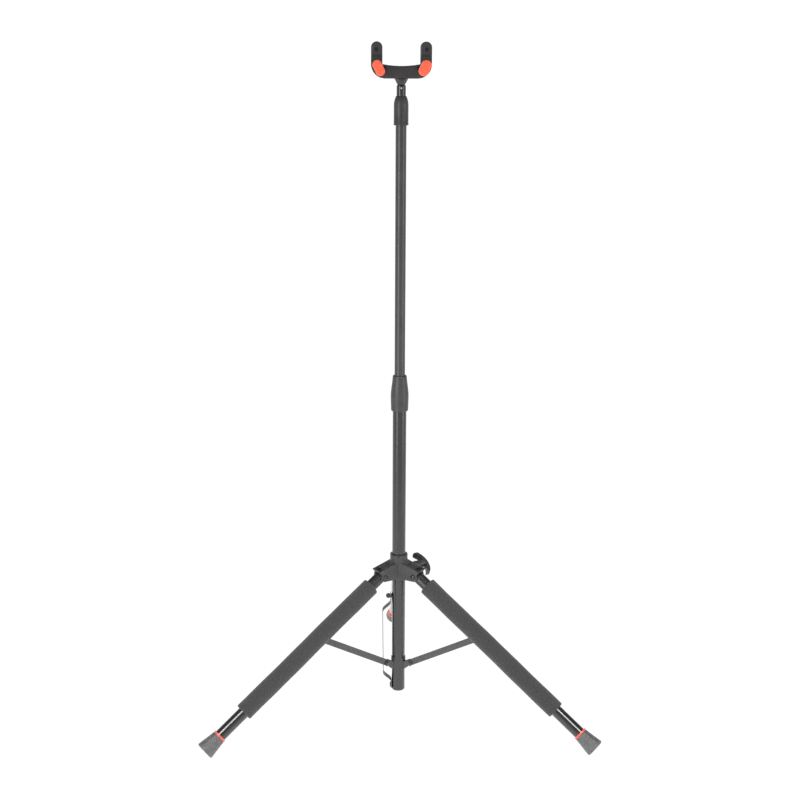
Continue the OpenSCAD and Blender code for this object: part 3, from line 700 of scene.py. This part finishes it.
def make_sleeve(side, phase):
    """A foam tube on a leg, with rounded ends and a window below for the brace's bracket."""
    node = "foam_" + side
    axes = leg_axes(side)
    start, end, inner_r, outer_r = extent_along(node, axes)
    bracket = extent_along("leg_bracket_" + side, axes)
    middle = (bracket[0] + bracket[1]) / 2
    window_x = (middle - SLEEVE_WINDOW_BACK, middle + SLEEVE_WINDOW_AHEAD)
    window_turn = math.asin(SLEEVE_WINDOW_HALF / outer_r)
    full_turn = 2 * math.pi
    turn_step = full_turn / SLEEVE_AROUND
    around = stations(-window_turn, full_turn - window_turn, [window_turn], turn_step)[:-1]
    rounding = [
        SLEEVE_EDGE_R * (1 - math.cos(math.pi / 2 * k / SLEEVE_EDGE_STEPS))
        for k in range(1, SLEEVE_EDGE_STEPS)
    ]
    along = stations(start + SLEEVE_EDGE_R, end - SLEEVE_EDGE_R, window_x, SLEEVE_STEP)
    along = [start] + [start + d for d in rounding] + along
    along += [end - d for d in reversed(rounding)] + [end]

    def skin(outside):
        rows = []
        for x in along:
            row = []
            for turn in around:
                radius = inner_r
                if outside:
                    edge = min(x - start, end - x)
                    radius = outer_r + foam_swell(x, turn, phase) - edge_drop(edge, SLEEVE_EDGE_R)
                place = Vector((x, -radius * math.sin(turn), -radius * math.cos(turn)))
                row.append(tuple(axes @ place))
            rows.append(row)
        return rows

    rows = skin(True) + skin(False)[::-1]
    count = len(around)
    points = [point for row in rows for point in row]
    levels = along + along[::-1]

    def in_window(turn, level):
        near, far = sorted(levels[level : level + 2])
        beside = window_x[0] - SNAP <= near and far <= window_x[1] + SNAP
        return beside and turn < window_turn - SNAP

    faces = []
    total = len(rows)
    for level in range(total):
        following = (level + 1) % total
        for i in range(count):
            j = (i + 1) % count
            wall = following != 0 and level != len(along) - 1
            if wall and in_window(around[i], level):
                continue
            faces.append(
                (level * count + i, level * count + j, following * count + j, following * count + i)
            )
    mesh = mesh_of("foam_sleeve_" + side, points, faces)
    close_window(mesh)
    sleeve = stand_in(node, mesh, "foam_sleeve_" + side)


def close_window(mesh):
    """Joins the two open loops of a cut-out with a wall."""
    form = bmesh.new()
    form.from_mesh(mesh)
    edges = [edge for edge in form.edges if edge.is_boundary]
    bmesh.ops.bridge_loops(form, edges=edges)
    form.to_mesh(mesh)
    form.free()
    shade(mesh)


# ---------- feet ----------

FOOT_AROUND = 108
FLUTES = 18
FLUTE_DEPTH = 0.35 * MM
FLUTE_END = 5 * MM
FLUTE_FADE = 4 * MM
FOOT_NECK_R = 12.1 * MM
# Each a distance from the foot's upper end, and the radius there.
FOOT_COLLAR = (1 * MM, 12.7 * MM)
FOOT_TAPER_FROM = (6 * MM, 13.2 * MM)
FOOT_TAPER_STEPS = 13
FOOT_WIDEST_R = 16.95 * MM
FOOT_ROUND = 3 * MM
FOOT_ROUND_STEPS = 7
FOOT_SOLE_T = 8 * MM


def flute_depth(x, length, turn):
    """Depth of the shallow lengthwise flutes, which fade out at the neck and the sole."""
    from_neck = eased((x - FLUTE_END) / FLUTE_FADE)
    from_sole = eased((length - FLUTE_END - x) / FLUTE_FADE)
    return FLUTE_DEPTH * from_neck * from_sole * (0.5 - 0.5 * math.cos(FLUTES * turn))


def make_foot(side):
    """A fluted rubber foot with a rounded sole, flat where it meets the floor."""
    node = "foot_" + side
    axes = leg_axes(side)
    start, end, _, _ = extent_along(node, axes)
    bore_r = extent_along("foot_ring_" + side, axes)[2]
    length = end - start
    profile = [(length - FOOT_SOLE_T, bore_r), (0, bore_r), (0, FOOT_NECK_R), FOOT_COLLAR]
    taper_x, taper_r = FOOT_TAPER_FROM
    taper_end = length - FOOT_ROUND
    for i in range(FOOT_TAPER_STEPS + 1):
        t = i / FOOT_TAPER_STEPS
        x = taper_x + t * (taper_end - taper_x)
        profile.append((x, taper_r + t * (FOOT_WIDEST_R - taper_r)))
    for i in range(1, FOOT_ROUND_STEPS + 1):
        turn = math.pi / 2 * i / FOOT_ROUND_STEPS
        x = taper_end + FOOT_ROUND * math.sin(turn)
        profile.append((x, FOOT_WIDEST_R - FOOT_ROUND * (1 - math.cos(turn))))
    rings = []
    for x, radius in profile:
        ring = []
        for k in range(FOOT_AROUND):
            turn = 2 * math.pi * k / FOOT_AROUND
            reach = radius
            if radius > bore_r:
                reach -= flute_depth(x, length, turn)
            place = axes @ Vector((start + x, reach * math.sin(turn), reach * math.cos(turn)))
            ring.append((place.x, place.y, max(place.z, CAD_BOX[0].z)))
        rings.append(ring)
    stand_in(node, mesh_of("rubber_foot_" + side, *loft(rings)), "rubber_foot_" + side)


# ---------- strap ----------

STRAP_T = 1.2 * MM
STRAP_HALF = 8 * MM
STRAP_LAP = 7 * MM
STRAP_REACH = 15.2 * MM
STRAP_TOP_GAP = 2.7 * MM
STRAP_TIP = 0.4 * MM
STRAP_STEPS = 110
STRAP_ARC = 6
# Shares of the strap's length: where each bend starts or ends, and how far it takes.
BEND_OUT = 0.08
BEND_OUT_OVER = 0.095
BEND_BACK = 0.91
BEND_BACK_OVER = 0.1
STUD_HOLE_R = 2.5 * MM
RIVET_HOLE_R = 2.1 * MM
HOLE_SIDES = 32
DRILL_REACH = 20 * MM


def drill(z, radius, from_x):
    """A rod across the strap, to cut a round hole with."""
    turns = [2 * math.pi * k / HOLE_SIDES for k in range(HOLE_SIDES)]
    rings = [
        [(x, MAST_Y + radius * math.cos(turn), z + radius * math.sin(turn)) for turn in turns]
        for x in (from_x, MAST_X)
    ]
    tool = bpy.data.objects.new("drill", mesh_of("drill", *loft(rings)))
    bpy.context.scene.collection.objects.link(tool)
    return tool


def make_strap():
    """A flat rubber strap from the rivet to the button, with rounded edges and ends."""
    post_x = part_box("lower_tube")[0].x
    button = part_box("strap_button")
    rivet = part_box("strap_rivet")
    low_z = (rivet[0].z + rivet[1].z) / 2
    top_z = (button[0].z + button[1].z) / 2
    low_x = post_x - STRAP_T / 2
    top_x = post_x - STRAP_TOP_GAP
    length = top_z - low_z + 2 * STRAP_LAP
    path = []
    for i in range(STRAP_STEPS + 1):
        u = i / STRAP_STEPS
        away = eased((u - BEND_OUT) / BEND_OUT_OVER) * eased((BEND_BACK - u) / BEND_BACK_OVER)
        x = low_x + u * (top_x - low_x) - STRAP_REACH * away
        path.append(Vector((x, MAST_Y, low_z - STRAP_LAP + u * length)))

    def section(i):
        near_end = min(i, STRAP_STEPS - i) / STRAP_STEPS * length
        inset = edge_drop(near_end + STRAP_TIP, STRAP_HALF)
        half = STRAP_HALF - inset - STRAP_T / 2
        ring = []
        for edge in (1, -1):
            for k in range(STRAP_ARC + 1):
                turn = math.pi * k / STRAP_ARC - math.pi / 2
                u = STRAP_T / 2 * math.sin(turn) * edge
                v = edge * (half + STRAP_T / 2 * math.cos(turn))
                ring.append((u, v))
        return ring

    mesh = mesh_of("strap", *loft(swept(path, section, Vector((0, 1, 0)))), crease_deg=50)
    holes = ((top_z, STUD_HOLE_R), (low_z, RIVET_HOLE_R))
    tools = [drill(z, radius, post_x - DRILL_REACH) for z, radius in holes]

    def punch(work):
        for tool in tools:
            hole = work.modifiers.new("hole", "BOOLEAN")
            hole.object = tool
            hole.solver = "EXACT"

    strap = evaluated(mesh, "rubber_strap", punch)
    for tool in tools:
        bpy.data.objects.remove(tool)
    shade(strap, 50)
    stand_in("leg_strap", strap, "rubber_strap")


# ---------- everything else ----------


def make_hub():
    hub = moulded_mesh("hub_body", "hub_moulding", voxel=0.5 * MM, passes=4, keep=0.25)
    stand_in("hub_body", hub, "hub_moulding")
    knob = moulded_mesh("clamp_knob", "knob_moulding", voxel=0.4 * MM, passes=6, keep=0.3)
    stand_in("clamp_knob", knob, "knob_moulding")


def finish_the_rest():
    """Smooth-shades every node that has no stand-in yet."""
    for node, thing in CAD.items():
        if not thing.hide_render:
            smoothed(node, node + "_fine")


# ---------- floor and light ----------

FLOOR_GLOW = 0.75
FLOOR_HALF = 400.0


def make_floor():
    """A flat white floor, as pale as the backdrop, which lights the stand from below.

    The camera sees past it to the backdrop, because the folded legs reach lower than the floor.
    """
    finish = Finish("floor", Specular_IOR_Level=0.1, Emission_Strength=FLOOR_GLOW)
    finish.colour(finish.noise(0.4), (0.86, 0.86, 0.86), (0.9, 0.9, 0.9))
    finish.roughness(finish.noise(0.05), 0.8, 0.9)
    finish.shader.inputs["Emission Color"].default_value = (1, 1, 1, 1)
    finish.material.cycles.emission_sampling = "NONE"
    corners = [
        (-FLOOR_HALF, -FLOOR_HALF, 0),
        (FLOOR_HALF, -FLOOR_HALF, 0),
        (FLOOR_HALF, FLOOR_HALF, 0),
        (-FLOOR_HALF, FLOOR_HALF, 0),
    ]
    mesh = mesh_of("floor", corners, [(0, 1, 2, 3)])
    mesh.materials.append(finish.material)
    floor = bpy.data.objects.new("floor", mesh)
    bpy.context.scene.collection.objects.link(floor)
    floor.visible_camera = False


def softbox(name, place, target, width, height, watts, spread_deg=180):
    """A rectangular lamp at place that faces target, and which the camera doesn't see."""
    data = bpy.data.lights.new(name, "AREA")
    data.shape = "RECTANGLE"
    data.size = width
    data.size_y = height
    data.energy = watts
    data.spread = math.radians(spread_deg)
    light = bpy.data.objects.new(name, data)
    bpy.context.scene.collection.objects.link(light)
    light.location = place
    light.rotation_euler = (Vector(target) - Vector(place)).to_track_quat("-Z", "Y").to_euler()
    light.visible_camera = False


HORIZON_WHITE = 1.05
DOME_GREY = 0.28
FADE_FROM_DEG = 12
FADE_TO_DEG = 32


def make_world():
    """A studio dome: white at and below the horizon, grey overhead."""
    world = bpy.data.worlds.new("studio")
    bpy.context.scene.world = world
    world.use_nodes = True
    tree = world.node_tree
    background = tree.nodes["Background"]
    place = tree.nodes.new("ShaderNodeTexCoord")
    axes = tree.nodes.new("ShaderNodeSeparateXYZ")
    fade = tree.nodes.new("ShaderNodeMapRange")
    fade.interpolation_type = "SMOOTHSTEP"
    fade.inputs["From Min"].default_value = math.sin(math.radians(FADE_FROM_DEG))
    fade.inputs["From Max"].default_value = math.sin(math.radians(FADE_TO_DEG))
    fade.inputs["To Min"].default_value = HORIZON_WHITE
    fade.inputs["To Max"].default_value = DOME_GREY
    tree.links.new(place.outputs["Generated"], axes.inputs["Vector"])
    tree.links.new(axes.outputs["Z"], fade.inputs["Value"])
    tree.links.new(fade.outputs["Result"], background.inputs["Color"])


def make_light():
    make_world()
    softbox("key", (-1.25, -1.45, 0.85), (0, 0, 0.75), 0.55, 1.6, 20)
    softbox("fill", (1.5, -0.9, 0.8), (0, 0, 0.7), 0.5, 1.5, 10)
    softbox("top", (0, 0.2, 2.6), (0, 0, 0), 1.4, 1.4, 12)
    softbox("left_leg", (-0.75, -1.2, 1.35), (-0.25, -0.22, 0.15), 0.55, 0.55, 4, 75)
    softbox("right_leg", (0.75, -1.2, 1.35), (0.25, -0.22, 0.15), 0.55, 0.55, 4, 75)


bpy.context.scene.view_settings.view_transform = "Standard"
make_camera()
make_floor()
make_light()
make_yoke()
make_spring()
make_hub()
make_sleeve("left", 0.4)
make_sleeve("right", 2.1)
for foot in ("left", "right", "rear"):
    make_foot(foot)
make_strap()
finish_the_rest()
